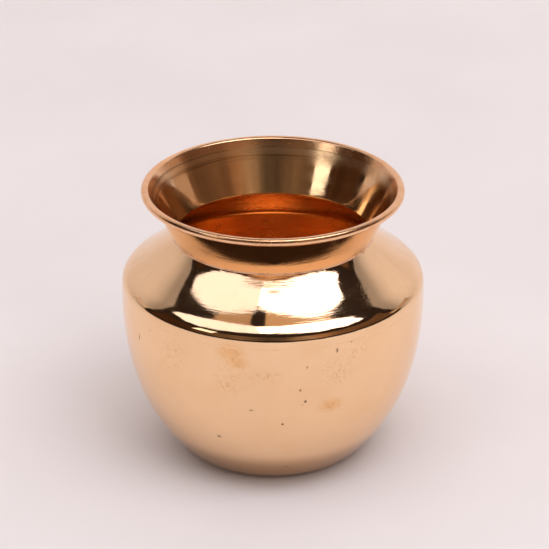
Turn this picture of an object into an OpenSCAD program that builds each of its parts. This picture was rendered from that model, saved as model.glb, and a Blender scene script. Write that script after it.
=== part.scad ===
// A small round-bellied water pot of thin polished sheet metal: a bowl, a sloping shoulder
// and a flared neck, brazed together, with a wire rolled into the lip.
// The origin is the centre of the base, where the pot stands, and +Z points up its axis.
//
// A slope angle says which way the outside of the wall faces:
// 0 faces straight up, 90 straight outwards and 180 straight down.

/* [Size] */
// Height from the table to the top of the lip
pot_h = 101.6; // [98:0.1:108]
// Greatest radius of the belly, outside
belly_r = 54.4; // [52:0.1:57]
// Greatest radius of the lip, outside
lip_r = 46.8; // [44:0.1:48]

/* [Sheet and joints] */
// Thickness of the sheet
sheet_t = 0.7; // [0.5:0.05:0.9]
// Thickness of a brazed film between two sheets
film_t = 0.12; // [0.08:0.01:0.2]
// How far the neck's turned foot reaches under the shoulder
neck_lap = 3.8; // [2:0.1:4.2]
// Radius on the outer side of the bend at the neck's foot
neck_bend_r = 0.3; // [0.2:0.05:0.5]
// Size of the braze left in the corner between neck and shoulder
corner_braze = 0.4; // [0.3:0.05:0.8]
// Height of the seam between bowl and shoulder
seam_z = 64; // [61:0.5:65]
// Length of the tapered overlap at that seam
scarf_len = 3; // [2:0.5:5]
// Width of the braze that shows at that seam
seam_w = 0.5; // [0.3:0.1:0.8]

/* [Lip] */
// Radius of the wire in the lip
wire_r = 0.72; // [0.5:0.01:1]
// Room between the wire and the rolled sheet
wire_room = 0.02; // [0.01:0.01:0.05]
// How far the sheet is rolled round the wire, in degrees
roll_turn = 290; // [200:5:295]

/* [Wall curves] */
// Slope angle of the shoulder where it meets the neck
shoulder_top_a = 49; // [48.4:0.1:49.6]
// Radius of the hollow curve beside the neck
nook_r = 42.6; // [40:0.2:46]
// Slope angle at which that curve opens out
nook_low_a = 42.6; // [42.2:0.2:43.4]
// Radius of the wide hollow curve of the shoulder
shoulder_curve_r = 107; // [103:0.5:111]
// Slope angle of the shoulder at its flattest
shoulder_low_a = 35.1; // [34.8:0.1:35.5]
// Radius of the easy curve that leads to the round edge
ease_r = 18.6; // [16:0.2:20]
// Slope angle at which the easy curve tightens into the round edge
ease_low_a = 47.8; // [46:0.2:50]
// Radius of the round edge between shoulder and belly
edge_r = 4.7; // [4:0.1:5.4]
// Slope angle at which the round edge runs into the belly
edge_low_a = 86.8; // [85:0.2:87]
// Radius of the upper belly curve
belly_curve_r = 108; // [103:1:120]
// Slope angle at which the belly curve tightens
belly_low_a = 104; // [102:1:108]
// Radius of the lower belly curve
lower_curve_r = 68; // [65:0.5:72]
// Slope angle at which the lower curve turns into the foot
lower_low_a = 133; // [131:0.5:136]
// Radius of the foot's round edge
foot_r = 12; // [8:0.5:14]

/* [Base] */
// Width of the flat ring that the pot stands on
rest_w = 1.5; // [1:0.1:3]
// Radius of the curve that lifts the base inside that ring
rise_r = 6; // [3:0.5:10]
// How steeply the base lifts off the table, in degrees
rise_a = 6; // [3:0.5:8]

/* [Hidden] */

copper_brass = [0.86, 0.58, 0.38];
braze_alloy = [0.84, 0.62, 0.38];
yellow_wire = [0.80, 0.62, 0.36];

// Longest chord on a wall curve, most degrees that a chord turns, and steps round the axis
chord_len = 2;
chord_turn = 8;
turn_steps = 180;
wire_steps = 48;

// How far the shoulder's edge stops short of the neck, in film thicknesses
corner_gap = 1.2;

// The direction that a wall of slope angle a faces, as [radius, height]
function facing(a) = [sin(a), cos(a)];

// Points along an arc of radius r about c, from one slope angle to another
function arc(c, r, from, to) =
    let (turn = abs(to - from))
    let (n = ceil(max(turn / chord_turn, turn * abs(r) * PI / 180 / chord_len)))
    [for (i = [0 : n]) c + r * facing(from + (to - from) * i / n)];

// The same for a wall that is hollow towards the outside, so its centre is outside it
function hollow_arc(c, r, from, to) = arc(c, -r, from, to);

// Where a straight line that starts inside the circle of radius r about c leaves it
function meet(start, along, c, r) =
    let (f = start - c, b = f * along)
    start + (sqrt(b * b + r * r - f * f) - b) * along;

function backwards(points) = [for (i = [len(points) - 1 : -1 : 0]) points[i]];

// Height of the widest place, set so that the foot stands on the table
belly_z = foot_r - (belly_curve_r - lower_curve_r) * cos(belly_low_a)
    - (lower_curve_r - foot_r) * cos(lower_low_a);

// Centres of the wall curves; neighbours share a tangent
belly_c = [belly_r - belly_curve_r, belly_z];
edge_c = belly_c + (belly_curve_r - edge_r) * facing(edge_low_a);
ease_c = edge_c + (edge_r - ease_r) * facing(ease_low_a);
shoulder_c = ease_c + (ease_r + shoulder_curve_r) * facing(shoulder_low_a);
nook_c = shoulder_c + (nook_r - shoulder_curve_r) * facing(nook_low_a);
lower_c = belly_c + (belly_curve_r - lower_curve_r) * facing(belly_low_a);
foot_c = lower_c + (lower_curve_r - foot_r) * facing(lower_low_a);
rise_c = [foot_c[0] - rest_w, rise_r];
dish_r = rise_c[0] / sin(rise_a) - rise_r;
dish_c = [0, rise_r - (rise_r + dish_r) * cos(rise_a)];

// The lip: the sheet rolls about the wire's centre
roll_in_r = wire_r + wire_room;
roll_out_r = roll_in_r + sheet_t;
lip_c = [lip_r - roll_out_r, pot_h - roll_out_r];

// The corner on the outside where neck and shoulder meet, and the neck's straight flare
corner = nook_c - nook_r * facing(shoulder_top_a);
to_lip = lip_c - corner;
flare_a = atan2(to_lip[0], to_lip[1]) - asin(roll_in_r / norm(to_lip));
up_neck = [sin(flare_a), cos(flare_a)];
neck_in = facing(270 + flare_a);

// The neck's foot bends outwards and runs along under the shoulder
foot_depth = sheet_t + film_t;
bend_c = meet(corner - neck_bend_r * neck_in, -up_neck, nook_c,
    nook_r + foot_depth - neck_bend_r);
bend_a = atan2(nook_c[0] - bend_c[0], nook_c[1] - bend_c[1]);
lap_a = shoulder_top_a - neck_lap / nook_r * 180 / PI;
edge_a = shoulder_top_a - corner_gap * film_t / nook_r * 180 / PI;
braze_a = shoulder_top_a - corner_braze / nook_r * 180 / PI;

// The tapered seam between bowl and shoulder
seam_a = acos((seam_z - belly_z) / belly_curve_r);
scarf_a = seam_a + scarf_len / belly_curve_r * 180 / PI;
seam_w_a = seam_w / belly_curve_r * 180 / PI;

// A run of the curve beside the neck, at depth d inside the outer skin
function nook_run(d, from, to) = hollow_arc(nook_c, nook_r + d, from, to);

// From slope angle from beside the neck down to the flattest place of the shoulder
function shoulder_run(d, from) = concat(
    nook_run(d, from, nook_low_a),
    hollow_arc(shoulder_c, shoulder_curve_r + d, nook_low_a, shoulder_low_a));

// The shoulder's round edge and the top of the belly at depth d, down to slope angle to
function edge_run(d, to) = concat(
    arc(ease_c, ease_r - d, shoulder_low_a, ease_low_a),
    arc(edge_c, edge_r - d, ease_low_a, edge_low_a),
    arc(belly_c, belly_curve_r - d, edge_low_a, to));

// The bowl's wall and dished base at depth d, from slope angle from to the axis
function bowl_run(d, from) = concat(
    arc(belly_c, belly_curve_r - d, from, belly_low_a),
    arc(lower_c, lower_curve_r - d, belly_low_a, lower_low_a),
    arc(foot_c, foot_r - d, lower_low_a, 180),
    arc(rise_c, rise_r - d, 180, 180 + rise_a),
    hollow_arc(dish_c, dish_r + d, 180 + rise_a, 180));

// The bend at the neck's foot, from the lap round to the straight flare
function bend_run(r) = arc(bend_c, r, bend_a + 180, 270 + flare_a);

module turned(outline) rotate_extrude($fn = turn_steps) polygon(outline);

// The lower body: belly, foot and dished base in one sheet
module belly_bowl() {
    color(copper_brass)
        turned(concat(
            bowl_run(0, seam_a + seam_w_a),
            backwards(bowl_run(sheet_t, scarf_a + seam_w_a))));
}

// The upper body: from the neck's foot out over the round edge to the seam
module shoulder() {
    color(copper_brass)
        turned(concat(
            nook_run(0, edge_a, braze_a),
            shoulder_run(0, braze_a),
            edge_run(0, seam_a),
            backwards(edge_run(sheet_t, scarf_a)),
            backwards(shoulder_run(sheet_t, lap_a)),
            backwards(nook_run(sheet_t, bend_a, lap_a))));
}

// The neck: a lapped foot, a straight flare and the lip rolled outwards round the wire
module neck_collar() {
    roll_from = 270 + flare_a;
    roll_to = roll_from + roll_turn;
    color(copper_brass)
        turned(concat(
            backwards(nook_run(foot_depth, bend_a, lap_a)),
            bend_run(neck_bend_r),
            arc(lip_c, roll_in_r, roll_from, roll_to),
            backwards(arc(lip_c, roll_out_r, roll_from, roll_to)),
            backwards(bend_run(neck_bend_r + sheet_t)),
            nook_run(foot_depth + sheet_t, bend_a, lap_a)));
}

// The round wire that stiffens the lip
module rim_wire() {
    color(yellow_wire)
        rotate_extrude($fn = turn_steps)
            translate(lip_c) circle(r = wire_r, $fn = wire_steps);
}

// Braze between the neck's foot and the shoulder, with a small fillet in the outside corner
module neck_braze() {
    color(braze_alloy)
        turned(concat(
            backwards(nook_run(sheet_t, bend_a, lap_a)),
            nook_run(0, edge_a, braze_a),
            [corner + corner_braze * up_neck],
            backwards(bend_run(neck_bend_r)),
            nook_run(foot_depth, bend_a, lap_a)));
}

// Braze in the tapered seam between bowl and shoulder
module belly_braze() {
    outer_r = belly_curve_r;
    inner_r = belly_curve_r - sheet_t;
    color(braze_alloy)
        turned([
            belly_c + outer_r * facing(seam_a),
            belly_c + outer_r * facing(seam_a + seam_w_a),
            belly_c + inner_r * facing(scarf_a + seam_w_a),
            belly_c + inner_r * facing(scarf_a)]);
}

belly_bowl();
shoulder();
neck_collar();
rim_wire();
neck_braze();
belly_braze();
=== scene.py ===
"""A small round-bellied water pot of polished sheet metal, on a pale studio sweep.

The wall's outline is drawn once, in millimetres, as points of (radius, height), and each piece is a
closed outline spun about +Z. A slope angle says which way the outside of the wall faces:
0 faces straight up, 90 straight outwards and 180 straight down.
"""
from math import acos, asin, atan2, ceil, cos, degrees, pi, radians, sin, sqrt

import bmesh
import bpy
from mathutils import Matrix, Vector, noise


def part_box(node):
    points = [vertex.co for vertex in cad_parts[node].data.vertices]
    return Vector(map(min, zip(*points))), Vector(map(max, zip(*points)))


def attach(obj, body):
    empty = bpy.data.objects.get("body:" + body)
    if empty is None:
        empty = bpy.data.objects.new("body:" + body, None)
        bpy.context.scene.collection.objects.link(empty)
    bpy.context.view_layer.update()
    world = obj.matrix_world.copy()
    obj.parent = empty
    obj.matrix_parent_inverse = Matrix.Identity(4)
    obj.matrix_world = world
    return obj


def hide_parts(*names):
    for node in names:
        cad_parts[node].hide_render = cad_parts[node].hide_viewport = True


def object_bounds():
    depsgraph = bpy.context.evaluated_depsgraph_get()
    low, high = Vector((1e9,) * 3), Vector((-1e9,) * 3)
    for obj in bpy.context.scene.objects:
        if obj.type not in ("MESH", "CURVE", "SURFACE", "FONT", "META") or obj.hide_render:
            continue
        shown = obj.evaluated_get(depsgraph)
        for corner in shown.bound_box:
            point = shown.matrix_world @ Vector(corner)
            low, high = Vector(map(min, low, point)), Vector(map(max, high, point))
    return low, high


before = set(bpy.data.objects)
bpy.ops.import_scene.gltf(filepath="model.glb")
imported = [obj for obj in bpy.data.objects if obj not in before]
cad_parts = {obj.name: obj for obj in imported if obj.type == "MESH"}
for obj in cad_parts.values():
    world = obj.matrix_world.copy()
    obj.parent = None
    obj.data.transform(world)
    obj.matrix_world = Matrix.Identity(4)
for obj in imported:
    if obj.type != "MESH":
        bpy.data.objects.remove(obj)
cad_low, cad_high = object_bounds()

MM = 0.001

# ---- Sizes that the CAD model gives, in millimetres ----
pot_h = cad_high.z / MM
belly_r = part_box("belly_bowl")[1].x / MM
lip_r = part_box("neck_collar")[1].x / MM
wire_low, wire_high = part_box("rim_wire")
wire_r = (wire_high.z - wire_low.z) / 2 / MM

# ---- Sheet and joints, in millimetres ----
sheet_t = 0.7
film_t = 0.12
neck_lap = 3.8
neck_bend_r = 0.3
corner_braze = 0.4
seam_z = 64
scarf_len = 3
seam_w = 0.5
wire_room = 0.02
roll_turn = 290
# How far the shoulder's edge stops short of the neck, in film thicknesses
corner_gap = 1.2

# ---- Wall curves: radii in millimetres and slope angles in degrees ----
shoulder_top_a = 49
nook_r, nook_low_a = 42.6, 42.6
shoulder_curve_r, shoulder_low_a = 107, 35.1
ease_r, ease_low_a = 18.6, 47.8
edge_r, edge_low_a = 4.7, 86.8
belly_curve_r, belly_low_a = 108, 104
lower_curve_r, lower_low_a = 68, 133
foot_r = 12
rest_w, rise_r, rise_a = 1.5, 6, 6

# ---- Mesh fineness: longest chord, most degrees that a chord turns, and steps round the axis ----
chord_len = 1.2
chord_turn = 2
roll_chord_turn = 7
turn_steps = 256
wire_steps = 16

# ---- Hand-worked unevenness of the wall: deepest hollow, how wide the hollows are, and how deep
# ---- and wide the small ones among them are, as a share of the large ones
hollow_depth = 0.035
hollow_width = 11
small_hollow = 0.4

# ---- Points closer than this in millimetres become one, and an edge that turns more degrees than
# ---- this is sharp
merge_gap = 0.001
sharp_a = 35


# ======================================================================================
# Outline
# ======================================================================================

def facing(slope):
    """The direction that a wall of this slope angle faces, as (radius, height)."""
    return Vector((sin(radians(slope)), cos(radians(slope))))


def arc(centre, radius, start, end, most_turn=chord_turn):
    """Points along an arc about centre, from one slope angle to another."""
    turn = abs(end - start)
    chords = max(turn / most_turn, radians(turn) * abs(radius) / chord_len)
    steps = max(1, ceil(chords))
    return [centre + radius * facing(start + (end - start) * i / steps) for i in range(steps + 1)]


def hollow_arc(centre, radius, start, end):
    """The same for a wall that is hollow towards the outside, so its centre is outside it."""
    return arc(centre, -radius, start, end)


def straight(start, end):
    """Points along a straight stretch, both ends included."""
    steps = max(1, ceil((end - start).length / chord_len))
    return [start.lerp(end, i / steps) for i in range(steps + 1)]


def meet(start, along, centre, radius):
    """Where a line that starts inside a circle leaves it."""
    offset = start - centre
    b = offset.dot(along)
    return start + (sqrt(b * b + radius * radius - offset.dot(offset)) - b) * along


# Height of the widest place, set so that the foot stands on the table
belly_z = (foot_r - (belly_curve_r - lower_curve_r) * cos(radians(belly_low_a))
           - (lower_curve_r - foot_r) * cos(radians(lower_low_a)))

# Centres of the wall curves; neighbours share a tangent
belly_c = Vector((belly_r - belly_curve_r, belly_z))
edge_c = belly_c + (belly_curve_r - edge_r) * facing(edge_low_a)
ease_c = edge_c + (edge_r - ease_r) * facing(ease_low_a)
shoulder_c = ease_c + (ease_r + shoulder_curve_r) * facing(shoulder_low_a)
nook_c = shoulder_c + (nook_r - shoulder_curve_r) * facing(nook_low_a)
lower_c = belly_c + (belly_curve_r - lower_curve_r) * facing(belly_low_a)
foot_c = lower_c + (lower_curve_r - foot_r) * facing(lower_low_a)
rise_c = Vector((foot_c.x - rest_w, rise_r))
dish_r = rise_c.x / sin(radians(rise_a)) - rise_r
dish_c = Vector((0, rise_r - (rise_r + dish_r) * cos(radians(rise_a))))

# The lip: the sheet rolls about the wire's centre
roll_in_r = wire_r + wire_room
roll_out_r = roll_in_r + sheet_t
lip_c = Vector((lip_r - roll_out_r, pot_h - roll_out_r))

# The outside corner of neck and shoulder, and the neck's straight flare
corner = nook_c - nook_r * facing(shoulder_top_a)
to_lip = lip_c - corner
flare_a = degrees(atan2(to_lip.x, to_lip.y) - asin(roll_in_r / to_lip.length))
up_neck = facing(flare_a)
neck_in = facing(270 + flare_a)

# The lip's finish starts this many roll radii below its top, and the neck's polish ends this far
# under the corner, in millimetres
lip_reach = 1.9
polish_past = 0.2
lip_start = pot_h - lip_reach * roll_out_r
polish_low = corner.y - polish_past

# The neck's foot bends outwards and runs along under the shoulder
foot_depth = sheet_t + film_t
bend_c = meet(corner - neck_bend_r * neck_in, -up_neck, nook_c, nook_r + foot_depth - neck_bend_r)
bend_a = degrees(atan2(nook_c.x - bend_c.x, nook_c.y - bend_c.y))
lap_a = shoulder_top_a - degrees(neck_lap / nook_r)
edge_a = shoulder_top_a - degrees(corner_gap * film_t / nook_r)
braze_a = shoulder_top_a - degrees(corner_braze / nook_r)

# The tapered seam between bowl and shoulder
seam_a = degrees(acos((seam_z - belly_z) / belly_curve_r))
scarf_a = seam_a + degrees(scarf_len / belly_curve_r)
seam_w_a = degrees(seam_w / belly_curve_r)


def nook_run(depth, start, end):
    """The curve beside the neck, this deep inside the outer skin."""
    return hollow_arc(nook_c, nook_r + depth, start, end)


def shoulder_run(depth, start):
    """From slope angle start beside the neck down to the flattest place of the shoulder."""
    return (nook_run(depth, start, nook_low_a)
            + hollow_arc(shoulder_c, shoulder_curve_r + depth, nook_low_a, shoulder_low_a))


def edge_run(depth, end):
    """From the shoulder round the edge and down the belly, to slope angle end."""
    return (arc(ease_c, ease_r - depth, shoulder_low_a, ease_low_a)
            + arc(edge_c, edge_r - depth, ease_low_a, edge_low_a)
            + arc(belly_c, belly_curve_r - depth, edge_low_a, end))


def bowl_run(depth, start):
    """From slope angle start on the belly down to the middle of the base."""
    return (arc(belly_c, belly_curve_r - depth, start, belly_low_a)
            + arc(lower_c, lower_curve_r - depth, belly_low_a, lower_low_a)
            + arc(foot_c, foot_r - depth, lower_low_a, 180)
            + arc(rise_c, rise_r - depth, 180, 180 + rise_a)
            + hollow_arc(dish_c, dish_r + depth, 180 + rise_a, 180))


def bend_run(radius):
    """The bend from the neck's lapped foot up to its straight flare."""
    return arc(bend_c, radius, bend_a + 180, 270 + flare_a, roll_chord_turn)


def lip_run(radius):
    """The sheet rolled round the lip's wire."""
    return arc(lip_c, radius, 270 + flare_a, 270 + flare_a + roll_turn, roll_chord_turn)


def bowl_outline():
    return bowl_run(0, seam_a + seam_w_a) + bowl_run(sheet_t, scarf_a + seam_w_a)[::-1]


def shoulder_outline():
    outside = (nook_run(0, edge_a, braze_a)
               + shoulder_run(0, braze_a)
               + edge_run(0, seam_a))
    inside = (edge_run(sheet_t, scarf_a)[::-1]
              + shoulder_run(sheet_t, lap_a)[::-1]
              + nook_run(sheet_t, bend_a, lap_a)[::-1])
    return outside + inside


def neck_outline():
    outer_bend = bend_run(neck_bend_r)
    inner_bend = bend_run(neck_bend_r + sheet_t)[::-1]
    rolled = lip_run(roll_in_r)
    skin = lip_run(roll_out_r)[::-1]
    return (nook_run(foot_depth, bend_a, lap_a)[::-1]
            + outer_bend
            + straight(outer_bend[-1], rolled[0])[1:-1]
            + rolled
            + skin
            + straight(skin[-1], inner_bend[0])[1:-1]
            + inner_bend
            + nook_run(foot_depth + sheet_t, bend_a, lap_a))


def wire_outline():
    return [lip_c + wire_r * facing(360 * i / wire_steps) for i in range(wire_steps)]


def neck_braze_outline():
    return (nook_run(sheet_t, bend_a, lap_a)[::-1]
            + nook_run(0, edge_a, braze_a)
            + [corner + corner_braze * up_neck]
            + bend_run(neck_bend_r)[::-1]
            + nook_run(foot_depth, bend_a, lap_a))


def belly_braze_outline():
    outside = arc(belly_c, belly_curve_r, seam_a, seam_a + seam_w_a)
    inside = arc(belly_c, belly_curve_r - sheet_t, scarf_a + seam_w_a, scarf_a)
    return outside + inside


# ======================================================================================
# Shader helpers
# ======================================================================================

def add(tree, kind, inputs=(), **settings):
    """A new shader node. An input value that is a socket is linked to it."""
    node = tree.nodes.new(kind)
    for name, value in settings.items():
        setattr(node, name, value)
    for key, value in dict(inputs).items():
        if isinstance(value, bpy.types.NodeSocket):
            tree.links.new(value, node.inputs[key])
        else:
            node.inputs[key].default_value = value
    return node


def maths(tree, operation, a, b=0.0, clamp=False):
    return add(tree, "ShaderNodeMath", {0: a, 1: b}, operation=operation, use_clamp=clamp).outputs[0]


def ramp(tree, value, start, end, low=0.0, high=1.0, linear=False):
    """Maps value from start..end to low..high, with soft ends unless it is linear."""
    inputs = {"Value": value, "From Min": start, "From Max": end, "To Min": low, "To Max": high}
    kind = "LINEAR" if linear else "SMOOTHSTEP"
    return add(tree, "ShaderNodeMapRange", inputs, interpolation_type=kind).outputs["Result"]


def blend_colour(tree, factor, a, b):
    """Colour a where factor is 0 and colour b where it is 1."""
    sockets = {0: factor, 6: a, 7: b}
    return add(tree, "ShaderNodeMix", sockets, data_type="RGBA").outputs[2]


def object_place(tree):
    """Where a point is on the pot, in millimetres."""
    place = add(tree, "ShaderNodeTexCoord").outputs["Object"]
    scaled = add(tree, "ShaderNodeVectorMath", {0: place, "Scale": 1 / MM}, operation="SCALE")
    return scaled.outputs[0]


def height_of(tree, place):
    """The height part of a place."""
    return add(tree, "ShaderNodeSeparateXYZ", {0: place}).outputs[2]


def new_group(name, inputs, outputs):
    """An empty node group with these (name, socket kind) inputs and outputs."""
    group = bpy.data.node_groups.new(name, "ShaderNodeTree")
    for label, kind in inputs:
        group.interface.new_socket(label, in_out="INPUT", socket_type="NodeSocket" + kind)
    for label, kind in outputs:
        group.interface.new_socket(label, in_out="OUTPUT", socket_type="NodeSocket" + kind)
    enter = group.nodes.new("NodeGroupInput").outputs
    leave = group.nodes.new("NodeGroupOutput").inputs
    return group, enter, leave


def placed(tree, group, inputs):
    """Places a node group and gives its outputs."""
    return add(tree, "ShaderNodeGroup", inputs, node_tree=group).outputs


# ======================================================================================
# Finishes that several metals share
# ======================================================================================

def make_turning_marks():
    """Fine rings left by turning and polishing, broken here and there round the axis."""
    group, enter, leave = new_group(
        "turning marks",
        [("Place", "Vector"), ("Rings per mm", "Float"), ("Breaks", "Float")],
        [("Height", "Float"), ("Streak", "Float")])
    split = add(group, "ShaderNodeSeparateXYZ", {0: enter["Place"]}).outputs
    level = add(group, "ShaderNodeCombineXYZ", {0: split[0], 1: split[1]}).outputs[0]
    radius = add(group, "ShaderNodeVectorMath", {0: level}, operation="LENGTH").outputs["Value"]
    round_x = maths(group, "MULTIPLY", maths(group, "DIVIDE", split[0], radius), enter["Breaks"])
    round_y = maths(group, "MULTIPLY", maths(group, "DIVIDE", split[1], radius), enter["Breaks"])
    across = maths(group, "MULTIPLY", radius, enter["Rings per mm"])
    up = maths(group, "MULTIPLY", split[2], enter["Rings per mm"])
    rings = add(group, "ShaderNodeCombineXYZ", {0: across, 1: up, 2: round_x}).outputs[0]
    fine = add(group, "ShaderNodeTexNoise",
               {"Vector": rings, "W": round_y, "Scale": 1.0, "Detail": 2.0, "Roughness": 0.7},
               noise_dimensions="4D").outputs[0]
    broad = add(group, "ShaderNodeTexNoise",
                {"Vector": rings, "W": round_y, "Scale": 0.22, "Detail": 1.0},
                noise_dimensions="4D").outputs[0]
    group.links.new(maths(group, "MULTIPLY", fine, broad), leave["Height"])
    group.links.new(ramp(group, broad, 0.35, 0.7), leave["Streak"])
    return group


def make_clouding():
    """Soft blotches, as where metal has dulled after handling."""
    group, enter, leave = new_group(
        "clouding",
        [("Place", "Vector"), ("Blotch width", "Float")],
        [("Mask", "Float"), ("Veins", "Float")])
    scale = maths(group, "DIVIDE", 1.0, enter["Blotch width"])
    blotch = add(group, "ShaderNodeTexNoise",
                 {"Vector": enter["Place"], "Scale": scale, "Detail": 3.0, "Roughness": 0.6}).outputs[0]
    from_middle = maths(group, "ABSOLUTE", maths(group, "SUBTRACT", blotch, 0.5))
    group.links.new(ramp(group, blotch, 0.42, 0.72), leave["Mask"])
    group.links.new(ramp(group, from_middle, 0.03, 0.0), leave["Veins"])
    return group


def make_pits():
    """Scattered small pits: a mask that is 1 in the middle of a pit."""
    group, enter, leave = new_group(
        "pits",
        [("Place", "Vector"), ("Spacing", "Float"), ("Share", "Float"), ("Width", "Float")],
        [("Mask", "Float")])
    scale = maths(group, "DIVIDE", 1.0, enter["Spacing"])
    cells = add(group, "ShaderNodeTexVoronoi", {"Vector": enter["Place"], "Scale": scale}).outputs
    chance = add(group, "ShaderNodeSeparateColor", {0: cells["Color"]}).outputs
    chosen = maths(group, "LESS_THAN", chance[0], enter["Share"])
    width = maths(group, "MULTIPLY", enter["Width"], maths(group, "ADD", chance[1], 0.4))
    near = maths(group, "SUBTRACT", 1.0, maths(group, "DIVIDE", cells["Distance"], width), clamp=True)
    group.links.new(maths(group, "MULTIPLY", near, chosen), leave["Mask"])
    return group


def make_spot():
    """One mark at a chosen place: 1 in its middle, fading to 0 at its reach."""
    group, enter, leave = new_group(
        "spot",
        [("Place", "Vector"), ("Centre", "Vector"), ("Stretch", "Vector"), ("Reach", "Float")],
        [("Mask", "Float")])
    away = add(group, "ShaderNodeVectorMath", {0: enter["Place"], 1: enter["Centre"]},
               operation="SUBTRACT").outputs[0]
    shaped = add(group, "ShaderNodeVectorMath", {0: away, 1: enter["Stretch"]},
                 operation="MULTIPLY").outputs[0]
    far = add(group, "ShaderNodeVectorMath", {0: shaped}, operation="LENGTH").outputs["Value"]
    share = maths(group, "DIVIDE", far, enter["Reach"])
    group.links.new(ramp(group, share, 1.0, 0.0), leave["Mask"])
    return group


turning_marks = make_turning_marks()
clouding = make_clouding()
pits = make_pits()
spot = make_spot()


# ======================================================================================
# Metals
# ======================================================================================

# ---- Colours of the sheet: polished, dulled, veined, orange stain, painted shade at the foot (also the dark rings inside the neck), floor of a pit ----
sheet_colour = (0.95, 0.64, 0.38, 1)
dull_colour = (0.90, 0.55, 0.29, 1)
stain_colour = (0.62, 0.27, 0.07, 1)
orange_colour = (0.86, 0.42, 0.13, 1)
grime_and_foot_shade_colour = (0.50, 0.28, 0.14, 1)
pit_colour = (0.16, 0.07, 0.03, 1)

# ---- Bright and dull colours of the inside, the lip, the wire and the braze in the neck's corner ----
inside_colours = (0.93, 0.49, 0.19, 1), (0.90, 0.44, 0.15, 1)
lip_colours = (0.94, 0.57, 0.33, 1), (0.88, 0.48, 0.24, 1)
wire_colours = (0.86, 0.68, 0.36, 1), (0.55, 0.38, 0.18, 1)
corner_colours = (0.74, 0.42, 0.25, 1), (0.58, 0.30, 0.15, 1)

# ---- How rough each clean metal is, before its marks and clouds are added ----
sheet_rough = 0.045
inside_rough = 0.21
neck_rough = 0.055
lip_rough = 0.14
wire_rough = 0.22
corner_rough = 0.22
flush_rough = 0.05

# ---- Heights in millimetres between which painted shade at the foot sets in downwards, and the lip's rings upwards ----
foot_shade_start, foot_shade_full = 17.0, 9.0
lip_rings_start, lip_rings_full = 93.5, 98.0

# ---- Marks on the belly: degrees round from the front, height in millimetres, how many times
# ---- narrower and how many times shorter than round, and reach in millimetres
stains = [(-15.5, 61.0, 1.0, 1.1, 6.5), (-14.5, 56.0, 0.9, 0.9, 7.5), (-17.0, 50.0, 0.9, 1.0, 7.0),
          (22.5, 39.2, 0.9, 1.3, 6.5), (24.0, 53.0, 0.7, 0.9, 7.5), (-3.0, 53.5, 0.6, 1.8, 6.5),
          (32.0, 59.0, 0.8, 1.0, 6.0), (-40.0, 55.0, 0.8, 0.8, 7.0)]
orange_stains = [(-15.5, 62.0, 0.9, 1.3, 6.5), (-13.0, 58.5, 0.9, 1.2, 5.0), (22.5, 39.5, 0.9, 1.3, 5.5)]
dark_marks = [(12.3, 42.6, 1.0, 0.8, 0.75), (10.2, 47.5, 0.9, 0.7, 0.55), (-8.1, 39.1, 0.6, 1.6, 0.7),
              (3.8, 33.1, 1.0, 0.8, 0.6), (-22.9, 24.7, 0.6, 0.9, 0.8), (6.5, 9.8, 0.4, 1.6, 0.8),
              (-59.9, 55.3, 1.6, 0.35, 0.8), (12.6, 56.5, 1.0, 0.6, 0.5), (11.2, 41.2, 1.0, 1.0, 0.5),
              (24.0, 61.5, 1.0, 0.5, 0.7), (30.0, 63.5, 0.8, 0.8, 0.4), (-52.0, 61.0, 1.2, 0.5, 0.4)]
# ---- Marks on the shoulder, told the same way but by radius in place of height ----
drag_marks = [(0.5, 40.3, 0.45, 2.4, 2.2)]
worn_marks = [(43.0, 45.0, 0.9, 0.9, 8.0)]


def nook_height(radius):
    """Height of the shoulder's outer skin at this radius, beside the neck."""
    return nook_c.y - sqrt(nook_r ** 2 - (nook_c.x - radius) ** 2)


def wall_radius(height):
    """Radius of the pot's outer skin at this height on the belly."""
    skin = edge_run(0, seam_a) + bowl_run(0, seam_a)
    for upper, lower in zip(skin, skin[1:]):
        if lower.y <= height < upper.y:
            return upper.lerp(lower, (upper.y - height) / (upper.y - lower.y)).x
    return belly_r


def round_from_front(turn, radius, height):
    """A place in space, told in degrees round from the front."""
    return (radius * sin(radians(turn)), -radius * cos(radians(turn)), height)


def marked(tree, place, marks, height_at=None):
    """The strongest of these marks at each point; with height_at they are told by radius."""
    strongest = None
    for turn, level, narrower, shorter, reach in marks:
        radius = level if height_at else wall_radius(level)
        height = height_at(level) if height_at else level
        centre = round_from_front(turn, radius, height)
        mask = placed(tree, spot, {"Place": place, "Centre": centre, "Reach": reach,
                                   "Stretch": (narrower, narrower, shorter)})["Mask"]
        strongest = mask if strongest is None else maths(tree, "MAXIMUM", strongest, mask)
    return strongest


def turned_marks(tree, place, rings_per_mm, breaks):
    return placed(tree, turning_marks, {"Place": place, "Rings per mm": rings_per_mm, "Breaks": breaks})


def clouds_in(tree, place, width):
    return placed(tree, clouding, {"Place": place, "Blotch width": width})


def pits_in(tree, place, spacing, share, width):
    inputs = {"Place": place, "Spacing": spacing, "Share": share, "Width": width}
    return placed(tree, pits, inputs)["Mask"]


def faded(tree, mask, strength, colour, over):
    """Lays colour over another one, at most this strongly, where the mask is 1."""
    return blend_colour(tree, maths(tree, "MULTIPLY", mask, strength), over, colour)


def weighted(tree, pairs, base=0.0):
    """The base value plus the sum of sockets, each times its own weight."""
    total = None
    for socket, weight in pairs:
        part = maths(tree, "MULTIPLY", socket, weight)
        total = part if total is None else maths(tree, "ADD", total, part)
    return maths(tree, "ADD", total, base)


def start_metal(name):
    """A new metal: the material, its tree, and where a point is on the pot."""
    material = bpy.data.materials.new(name)
    material.use_nodes = True
    tree = material.node_tree
    return material, tree, object_place(tree)


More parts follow.
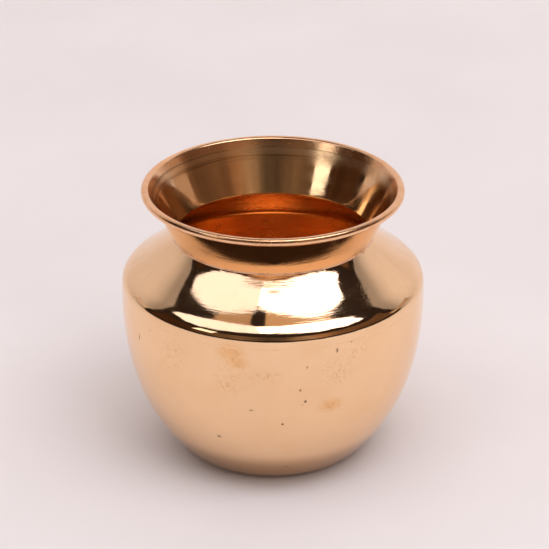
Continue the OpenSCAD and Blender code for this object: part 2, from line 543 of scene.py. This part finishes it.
def finish_metal(material, colour, roughness, height):
    """Wires colour, roughness and a bump told in millimetres."""
    tree = material.node_tree
    shader = tree.nodes["Principled BSDF"].inputs
    bump = add(tree, "ShaderNodeBump", {"Height": height, "Distance": MM, "Strength": 1.0})
    shader["Metallic"].default_value = 1.0
    tree.links.new(colour, shader["Base Color"])
    tree.links.new(roughness, shader["Roughness"])
    tree.links.new(bump.outputs[0], shader["Normal"])
    return material


def polished_sheet():
    """Outside of the pot: bright, with turning marks, a few pits, stains and scratches, and painted shade
    towards the foot.
    """
    material, tree, place = start_metal("polished sheet")
    rings = turned_marks(tree, place, 1.6, 7.0)
    clouds = clouds_in(tree, place, 14.0)["Mask"]
    fine = clouds_in(tree, place, 2.6)
    speckle = clouds_in(tree, place, 0.8)["Mask"]
    small_pits = pits_in(tree, place, 4.0, 0.12, 0.05)
    veined = maths(tree, "MULTIPLY", marked(tree, place, stains), fine["Veins"])
    uneven = maths(tree, "ADD", fine["Mask"], 0.6)
    dark = maths(tree, "MULTIPLY", marked(tree, place, dark_marks), uneven, clamp=True)
    worn = maths(tree, "MULTIPLY", marked(tree, place, worn_marks, nook_height), speckle)
    # Painted shade: a mask that grows towards the foot, standing in for the contact shadow that the lower
    # belly reflects
    foot_shade = ramp(tree, height_of(tree, place), foot_shade_start, foot_shade_full)
    colour = faded(tree, clouds, 0.3, dull_colour, sheet_colour)
    colour = faded(tree, marked(tree, place, orange_stains), 0.55, orange_colour, colour)
    colour = faded(tree, veined, 0.55, stain_colour, colour)
    # Painted shade darkens the sheet at the foot
    colour = faded(tree, foot_shade, 0.6, grime_and_foot_shade_colour, colour)
    colour = blend_colour(tree, maths(tree, "MAXIMUM", dark, small_pits), colour, pit_colour)
    colour = faded(tree, marked(tree, place, drag_marks, nook_height), 0.85, pit_colour, colour)
    rough = weighted(tree, [(clouds, 0.03), (rings["Streak"], 0.02), (small_pits, 0.4), (veined, 0.15),
                            (worn, 0.16)], sheet_rough)
    height = weighted(tree, [(rings["Height"], 0.02), (small_pits, -0.04), (dark, -0.05), (veined, -0.004)])
    return finish_metal(material, colour, rough, height)


def inside_sheet():
    """Inside of the pot: less polished, and redder where it was heated for brazing."""
    material, tree, place = start_metal("inside sheet")
    rings = turned_marks(tree, place, 0.8, 2.0)
    clouds = clouds_in(tree, place, 12.0)["Mask"]
    colour = blend_colour(tree, clouds, *inside_colours)
    rough = weighted(tree, [(clouds, 0.06), (rings["Streak"], 0.05)], inside_rough)
    height = weighted(tree, [(rings["Height"], 0.008), (clouds, 0.01)])
    return finish_metal(material, colour, rough, height)


def neck_inside():
    """Inside of the flared neck: polished in place, with stronger rings towards the lip."""
    material, tree, place = start_metal("neck inside")
    rings = turned_marks(tree, place, 1.1, 2.5)
    clouds = clouds_in(tree, place, 7.0)["Mask"]
    near_lip = ramp(tree, height_of(tree, place), lip_rings_start, lip_rings_full)
    lines = ramp(tree, turned_marks(tree, place, 2.0, 1.2)["Height"], 0.24, 0.32)
    lines = maths(tree, "MULTIPLY", lines, ramp(tree, near_lip, 0.0, 0.5))
    colour = faded(tree, clouds, 0.7, dull_colour, sheet_colour)
    colour = faded(tree, lines, 0.75, grime_and_foot_shade_colour, colour)
    rough = weighted(tree, [(clouds, 0.07), (rings["Streak"], 0.06), (near_lip, 0.12)], neck_rough)
    ring_depth = ramp(tree, near_lip, 0.0, 1.0, 0.008, 0.06)
    height = maths(tree, "MULTIPLY", rings["Height"], ring_depth)
    return finish_metal(material, colour, rough, height)


def braze_metal(name, bright, dull, smooth, pitted):
    """Finely pitted alloy, bright with dull clouds; it is up to twice as rough in the clouds."""
    material, tree, place = start_metal(name)
    clouds = clouds_in(tree, place, 4.0)["Mask"]
    small_pits = pits_in(tree, place, 1.6, pitted, 0.12)
    colour = blend_colour(tree, clouds, bright, dull)
    colour = blend_colour(tree, small_pits, colour, pit_colour)
    rough = weighted(tree, [(clouds, smooth)], smooth)
    height = weighted(tree, [(clouds, 0.002), (small_pits, -0.05)])
    return finish_metal(material, colour, rough, height)


def lip_metal():
    """The rolled lip: handled and knocked, so softer and more coppery than the sheet."""
    material, tree, place = start_metal("lip metal")
    rings = turned_marks(tree, place, 2.5, 9.0)
    clouds = clouds_in(tree, place, 5.0)["Mask"]
    fine = clouds_in(tree, place, 1.2)
    colour = blend_colour(tree, clouds, *lip_colours)
    colour = faded(tree, fine["Veins"], 0.25, stain_colour, colour)
    rough = weighted(tree, [(clouds, 0.08), (rings["Streak"], 0.06), (fine["Mask"], 0.05)], lip_rough)
    height = weighted(tree, [(rings["Height"], 0.02), (fine["Mask"], 0.006)])
    return finish_metal(material, colour, rough, height)


def drawn_wire():
    """Yellow brass wire, with fine lines along its length and some dull places."""
    material, tree, place = start_metal("drawn wire")
    rings = turned_marks(tree, place, 9.0, 3.0)
    clouds = clouds_in(tree, place, 6.0)["Mask"]
    colour = blend_colour(tree, clouds, *wire_colours)
    rough = weighted(tree, [(clouds, 0.2)], wire_rough)
    height = weighted(tree, [(rings["Height"], 0.01)])
    return finish_metal(material, colour, rough, height)


# ======================================================================================
# Pieces
# ======================================================================================

# Places of a piece's materials; only the neck has the last two
OUTSIDE, INSIDE, LIP, NECK_FOOT = range(4)

# A point well inside the pot, in millimetres, that every inner face looks towards
inside_point = Vector((0, 0, 60))

# Closer to the axis than this, in millimetres, the wall is left even
even_r = 1


def hollowed(point):
    """The point moved in towards the axis by the wall's slight unevenness; never outwards."""
    radius = sqrt(point.x ** 2 + point.y ** 2)
    if radius < even_r:
        return point
    wave = noise.noise(point / hollow_width)
    wave += small_hollow * noise.noise(point / (hollow_width * small_hollow))
    inward = hollow_depth * max(0.0, 0.5 + 0.5 * wave)
    return Vector((point.x * (1 - inward / radius), point.y * (1 - inward / radius), point.z))


def turned(outline):
    """A closed outline turned once about +Z, in metres."""
    bm = bmesh.new()
    ring = [bm.verts.new((point.x, 0, point.y)) for point in outline]
    for a, b in zip(ring, ring[1:] + ring[:1]):
        bm.edges.new((a, b))
    bmesh.ops.remove_doubles(bm, verts=bm.verts, dist=merge_gap)
    bmesh.ops.spin(bm, geom=bm.verts[:] + bm.edges[:], cent=(0, 0, 0), axis=(0, 0, 1),
                   angle=2 * pi, steps=turn_steps, use_merge=True)
    bmesh.ops.remove_doubles(bm, verts=bm.verts, dist=merge_gap)
    loose = [edge for edge in bm.edges if not edge.link_faces]
    bmesh.ops.delete(bm, geom=loose, context="EDGES")
    for vert in bm.verts:
        vert.co = hollowed(vert.co) * MM
    bmesh.ops.recalc_face_normals(bm, faces=bm.faces)
    return bm


def finish_of(face, has_lip):
    """Which of a sheet's materials a face takes."""
    middle = face.calc_center_median()
    if has_lip and middle.z > lip_start * MM:
        return LIP
    if face.normal.dot(middle - inside_point * MM) >= 0:
        return OUTSIDE
    return NECK_FOOT if has_lip and middle.z < polish_low * MM else INSIDE


def add_object(name, bm, materials):
    """Puts a finished mesh in the scene as an object, smooth all over."""
    for face in bm.faces:
        face.smooth = True
    mesh = bpy.data.meshes.new(name)
    bm.to_mesh(mesh)
    bm.free()
    for material in materials:
        mesh.materials.append(material)
    thing = bpy.data.objects.new(name, mesh)
    bpy.context.scene.collection.objects.link(thing)
    return thing


def spun(name, outline, materials):
    """A piece of the pot. A sheet has a material for its outside, its inside and so on."""
    bm = turned(outline)
    if len(materials) > 1:
        for face in bm.faces:
            face.material_index = finish_of(face, len(materials) > LIP)
    piece = add_object(name, bm, materials)
    piece.data.set_sharp_from_angle(angle=radians(sharp_a))
    return piece


def make_pot():
    """The six pieces, each in the place of its CAD node."""
    outer, inner, neck = polished_sheet(), inside_sheet(), neck_inside()
    lip, wire = lip_metal(), drawn_wire()
    corner_fill = braze_metal("corner braze", *corner_colours, corner_rough, 0.3)
    flush_fill = braze_metal("flush braze", sheet_colour, dull_colour, flush_rough, 0.12)
    made = [
        ("belly_bowl", "pot_metal", spun("bowl_sheet", bowl_outline(), [outer, inner])),
        ("shoulder", "pot_metal", spun("shoulder_sheet", shoulder_outline(), [outer, inner])),
        ("neck_collar", "pot_metal", spun("neck_sheet", neck_outline(), [outer, neck, lip, inner])),
        ("rim_wire", "lip_wire", spun("lip_wire_ring", wire_outline(), [wire])),
        ("neck_braze", "braze", spun("neck_braze_ring", neck_braze_outline(), [corner_fill])),
        ("belly_braze", "braze", spun("belly_braze_ring", belly_braze_outline(), [flush_fill])),
    ]
    for node_name, slot, piece in made:
        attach(piece, "root")
        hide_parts(node_name)


# ======================================================================================
# Studio, in metres
# ======================================================================================

# ---- Sweep: its front edge, back wall, half width, height, bend, and how far it lies under the pot ----
sweep_front, sweep_back, sweep_half_w, sweep_top = -1.35, 1.05, 3.5, 2.8
sweep_bend_r = 0.35
sweep_bend_step = 6
floor_gap = 0.00005
cloth_colours = (0.78, 0.725, 0.71, 1), (0.81, 0.755, 0.74, 1)

# ---- Panels overhead: name, corners for each metre of height over the shoulder, colour, strength ----
shoulder_height = 0.075
panel_height = 2.0
cool_white = (1.0, 1.0, 1.12, 1)
copper_glow = (0.50, 0.34, 0.22, 1)
panels = [
    ("left_panel",
     [(-1.05, 0.21), (-0.90, 0.20), (-0.62, 0.03), (-0.35, -0.13), (-0.16, -0.22), (-0.14, -0.26),
      (-0.14, -0.57), (-0.35, -0.545), (-0.65, -0.455), (-0.88, -0.31), (-1.01, -0.12)],
     cool_white, 1.45),
    ("right_panel",
     [(-0.14, -0.26), (0.10, -0.215), (0.30, -0.125), (0.50, -0.03), (0.73, 0.045), (0.79, -0.01),
      (0.99, -0.02), (0.99, -0.11), (0.87, -0.30), (0.62, -0.47), (0.35, -0.56), (-0.14, -0.57)],
     cool_white, 3.2),
    ("left_ceiling",
     [(-0.50, 0.06), (-0.20, 0.12), (-0.17, -0.21), (-0.35, -0.125), (-0.45, -0.07)],
     copper_glow, 1.0),
    ("right_ceiling",
     [(-0.04, 0.12), (0.46, 0.14), (0.47, -0.04), (0.30, -0.12), (0.10, -0.21), (-0.06, -0.24)],
     copper_glow, 1.25),
]

# ---- Upright boards, all at one distance: name, side (1 is +X), the degrees round from the front
# ---- where each starts and ends, its low and high edge, colour, strength
board_r = 1.75
boards = [("left_board", -1, 106, 123, 0.38, 0.75, (0.62, 0.50, 0.44, 1), 1.0),
          ("right_board", 1, 97, 122, 0.38, 0.75, (0.46, 0.32, 0.24, 1), 1.0),
          ("narrow_window", -1, 47, 64, 0.95, 1.60, (1.0, 0.97, 0.93, 1), 1.7)]

# ---- Far room: its distance, low and high edge, how far it reaches round, in how many flat strips ----
room_r, room_low, room_high, room_turn = 2.5, 0.45, 2.05, radians(200)
room_steps = 24
# Its tones from the far left (0) to the far right (1)
room_tones = [(0.00, (0.055, 0.026, 0.012)), (0.05, (0.060, 0.028, 0.013)), (0.15, (0.16, 0.10, 0.06)),
              (0.30, (0.20, 0.13, 0.08)), (0.46, (0.085, 0.060, 0.040)), (0.57, (0.11, 0.078, 0.050)),
              (0.72, (0.42, 0.29, 0.19)), (0.81, (0.36, 0.20, 0.11)), (0.89, (0.20, 0.11, 0.06)),
              (0.99, (0.15, 0.082, 0.046))]

# ---- Lamps: name, place, tilt about X and turn about Z in degrees, width, height, power in watts ----
lamp_colour = (1.0, 0.985, 0.98)
lamps = [("wide_fill", (0, -0.4, 1.9), 0, 0, 2.8, 2.8, 14.2),
         ("front_key", (0.9, -1.2, 1.6), 43, 37, 1.2, 1.2, 7.5),
         ("wall_wash", (0, 0.35, 0.9), 90, 0, 5.0, 0.8, 5)]

# ---- The dark that the metal sees all round, and the soft light that cloth gets from all round ----
black = (0, 0, 0, 1)
dark_colour = (0.027, 0.018, 0.014, 1)
soft_colour = (1.0, 0.98, 0.97, 1)
soft_strength = 0.40

# ---- Camera: lens and sensor in millimetres, degrees that it looks down, distance, what it looks at ----
lens = 170.5
sensor_w = 36
look_down = 25.6
camera_far = 0.936
camera_aim = Vector((0.0006, 0, 0.0665))


def sweep_material():
    """Pale matt cloth with faint soft mottling."""
    material = bpy.data.materials.new("pale cloth")
    material.use_nodes = True
    tree = material.node_tree
    shader = tree.nodes["Principled BSDF"].inputs
    place = add(tree, "ShaderNodeTexCoord").outputs["Object"]
    mottle = add(tree, "ShaderNodeTexNoise", {"Vector": place, "Scale": 9.0, "Detail": 4.0}).outputs[0]
    colour = blend_colour(tree, ramp(tree, mottle, 0.3, 0.7), *cloth_colours)
    tree.links.new(colour, shader["Base Color"])
    shader["Roughness"].default_value = 0.9
    shader["Specular IOR Level"].default_value = 0.1
    return material


def add_stage(name, bm, material):
    thing = add_object(name, bm, [material])
    return thing


def make_sweep():
    """A floor that curves up into a wall behind the pot."""
    bm = bmesh.new()
    bend_middle = Vector((sweep_back - sweep_bend_r, sweep_bend_r))
    bend = [bend_middle + sweep_bend_r * Vector((sin(radians(a)), -cos(radians(a))))
            for a in range(0, 91, sweep_bend_step)]
    line = [Vector((sweep_front, 0)), *bend, Vector((sweep_back, sweep_top))]
    verts = [bm.verts.new((-sweep_half_w, point.x, point.y - floor_gap)) for point in line]
    edges = [bm.edges.new(pair) for pair in zip(verts, verts[1:])]
    grown = bmesh.ops.extrude_edge_only(bm, edges=edges)["geom"]
    moved = [item for item in grown if isinstance(item, bmesh.types.BMVert)]
    bmesh.ops.translate(bm, verts=moved, vec=(2 * sweep_half_w, 0, 0))
    bmesh.ops.recalc_face_normals(bm, faces=bm.faces)
    add_stage("sweep", bm, sweep_material())


def glow(name, colour, strength):
    """A material that only gives light."""
    material = bpy.data.materials.new(name)
    material.use_nodes = True
    tree = material.node_tree
    tree.nodes.remove(tree.nodes["Principled BSDF"])
    light = add(tree, "ShaderNodeEmission", {"Color": colour, "Strength": strength})
    tree.links.new(light.outputs[0], tree.nodes["Material Output"].inputs["Surface"])
    return material


def make_card(name, corners, colour, strength):
    """A flat glowing card with these corners."""
    bm = bmesh.new()
    bm.faces.new([bm.verts.new(corner) for corner in corners])
    return add_stage(name, bm, glow(name, colour, strength))


def overhead(corners):
    """Corners of a level panel over the pot."""
    up = shoulder_height + panel_height
    return [(x * panel_height, y * panel_height, up) for x, y in corners]


def upright(side, start, end, low, high):
    """Corners of an upright board beside the pot."""
    feet = [(side * board_r * sin(radians(turn)), -board_r * cos(radians(turn))) for turn in (start, end)]
    return [(*feet[0], low), (*feet[1], low), (*feet[1], high), (*feet[0], high)]


def room_material():
    """Dim brown light that changes from left to right, with soft darker shapes in it."""
    material = glow("far room", black, 1.0)
    tree = material.node_tree
    place = add(tree, "ShaderNodeTexCoord").outputs["Object"]
    sideways = add(tree, "ShaderNodeSeparateXYZ", {0: place}).outputs[0]
    across = ramp(tree, sideways, -room_r, room_r, linear=True)
    tones = add(tree, "ShaderNodeValToRGB", {0: across})
    while len(tones.color_ramp.elements) < len(room_tones):
        tones.color_ramp.elements.new(0.5)
    for stop, (position, colour) in zip(tones.color_ramp.elements, room_tones):
        stop.position = position
        stop.color = (*colour, 1)
    shapes = add(tree, "ShaderNodeTexNoise", {"Vector": place, "Scale": 2.2, "Detail": 2.0}).outputs[0]
    shade = ramp(tree, shapes, 0.6, 0.35, 0.0, 0.25)
    tone = blend_colour(tree, shade, tones.outputs[0], black)
    tree.links.new(tone, tree.nodes["Emission"].inputs["Color"])
    return material


def make_far_room():
    """A dim band round the front of the room, seen only in the metal."""
    bm = bmesh.new()
    low = bm.verts.new((-room_r * sin(room_turn / 2), -room_r * cos(room_turn / 2), room_low))
    high = bm.verts.new((low.co.x, low.co.y, room_high))
    edge = bm.edges.new((low, high))
    bmesh.ops.spin(bm, geom=[low, high, edge], cent=(0, 0, 0), axis=(0, 0, 1), angle=room_turn,
                   steps=room_steps)
    add_stage("far_room", bm, room_material()).visible_diffuse = False


def make_lamp(name, place, tilt, turn, width, height, power):
    """A soft lamp that shines on the cloth and walls but doesn't show in the metal."""
    data = bpy.data.lights.new(name, "AREA")
    data.shape = "RECTANGLE"
    data.size = width
    data.size_y = height
    data.energy = power
    data.color = lamp_colour
    lamp = bpy.data.objects.new(name, data)
    lamp.location = place
    lamp.rotation_euler = (radians(tilt), 0, radians(turn))
    lamp.visible_glossy = False
    bpy.context.scene.collection.objects.link(lamp)


def make_lights():
    """Panels overhead, boards, a window and a far room that show in the metal, and three soft lamps."""
    for name, corners, colour, strength in panels:
        make_card(name, overhead(corners), colour, strength)
    for name, *where, colour, strength in boards:
        make_card(name, upright(*where), colour, strength).visible_diffuse = False
    make_far_room()
    for lamp in lamps:
        make_lamp(*lamp)


def make_world():
    """Nearly dark where the metal looks, and soft light for everything matt."""
    world = bpy.data.worlds.new("dark studio")
    world.use_nodes = True
    tree = world.node_tree
    back = tree.nodes["Background"]
    back.inputs["Color"].default_value = dark_colour
    back.inputs["Strength"].default_value = 1.0
    rays = add(tree, "ShaderNodeLightPath").outputs
    soft = add(tree, "ShaderNodeBackground", {"Color": soft_colour, "Strength": soft_strength})
    both = add(tree, "ShaderNodeMixShader",
               {0: rays["Is Diffuse Ray"], 1: back.outputs[0], 2: soft.outputs[0]})
    tree.links.new(both.outputs[0], tree.nodes["World Output"].inputs["Surface"])
    bpy.context.scene.world = world


def make_camera():
    """A long lens from the front, looking down on the pot."""
    data = bpy.data.cameras.new("camera")
    data.lens = lens
    data.sensor_width = sensor_w
    camera = bpy.data.objects.new("camera", data)
    bpy.context.scene.collection.objects.link(camera)
    tilt = radians(look_down)
    camera.location = camera_aim + camera_far * Vector((0, -cos(tilt), sin(tilt)))
    camera.rotation_euler = (pi / 2 - tilt, 0, 0)
    bpy.context.scene.camera = camera


make_pot()
make_sweep()
make_lights()
make_world()
make_camera()
bpy.context.scene.view_settings.view_transform = "Standard"
